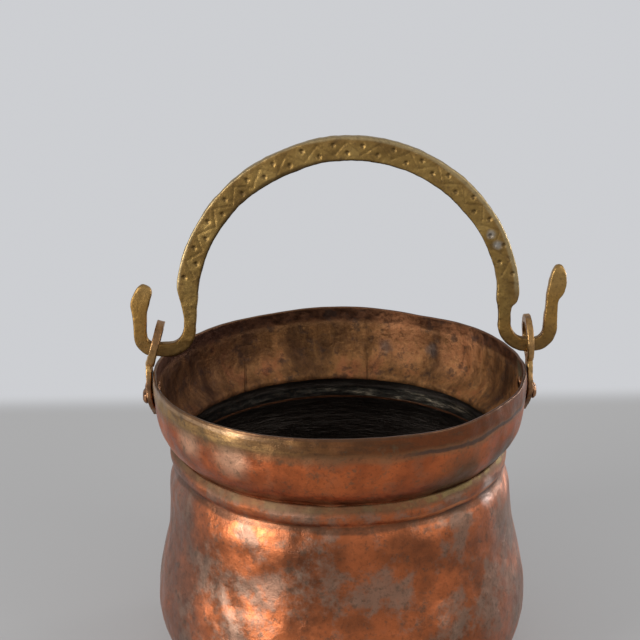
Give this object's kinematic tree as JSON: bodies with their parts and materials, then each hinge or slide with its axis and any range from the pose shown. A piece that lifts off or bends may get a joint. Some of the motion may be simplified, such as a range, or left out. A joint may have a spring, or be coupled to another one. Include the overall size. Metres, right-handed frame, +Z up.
{
  "type": "jam pan",
  "caption": "Small hand-beaten copper pan with a flared collar, a creased neck, a swelling belly and a swinging brass bail hooked through riveted ears.",
  "frame": {"origin": "on the pan's axis, in the plane of the flat underside that it stands on", "axes": "+Z up along the pan's axis; X through both ears, +X to the ear on the right of the picture; -Y towards the picture's side"},
  "size_m": [0.1825, 0.1626, 0.2311],
  "materials": {
    "copper_belly": "hand-beaten copper with a worn red-brown patina, tinned inside",
    "copper_collar": "hand-beaten copper with an olive-brown band below the rim",
    "ear_copper": "hammered copper plate with a brown patina",
    "rivet_copper": "hammered copper",
    "bail_brass": "forged brass, dull olive gold, stamped zigzag with punched dots"
  },
  "bodies": {
    "pan": {"body": "copper_belly", "collar": "copper_collar", "left_ear": "ear_copper", "right_ear": "ear_copper", "left_front_rivet": "rivet_copper", "left_back_rivet": "rivet_copper", "right_front_rivet": "rivet_copper", "right_back_rivet": "rivet_copper"},
    "bail": {"bail_handle": "bail_brass"}
  },
  "joints": [
    {"name": "bail_swing", "type": "hinge", "parent": "pan", "child": "bail", "pos_m": [0, 0, 0.1408], "axis": [1, 0, 0], "range_deg": [-94.5, 94.5]}
  ]
}
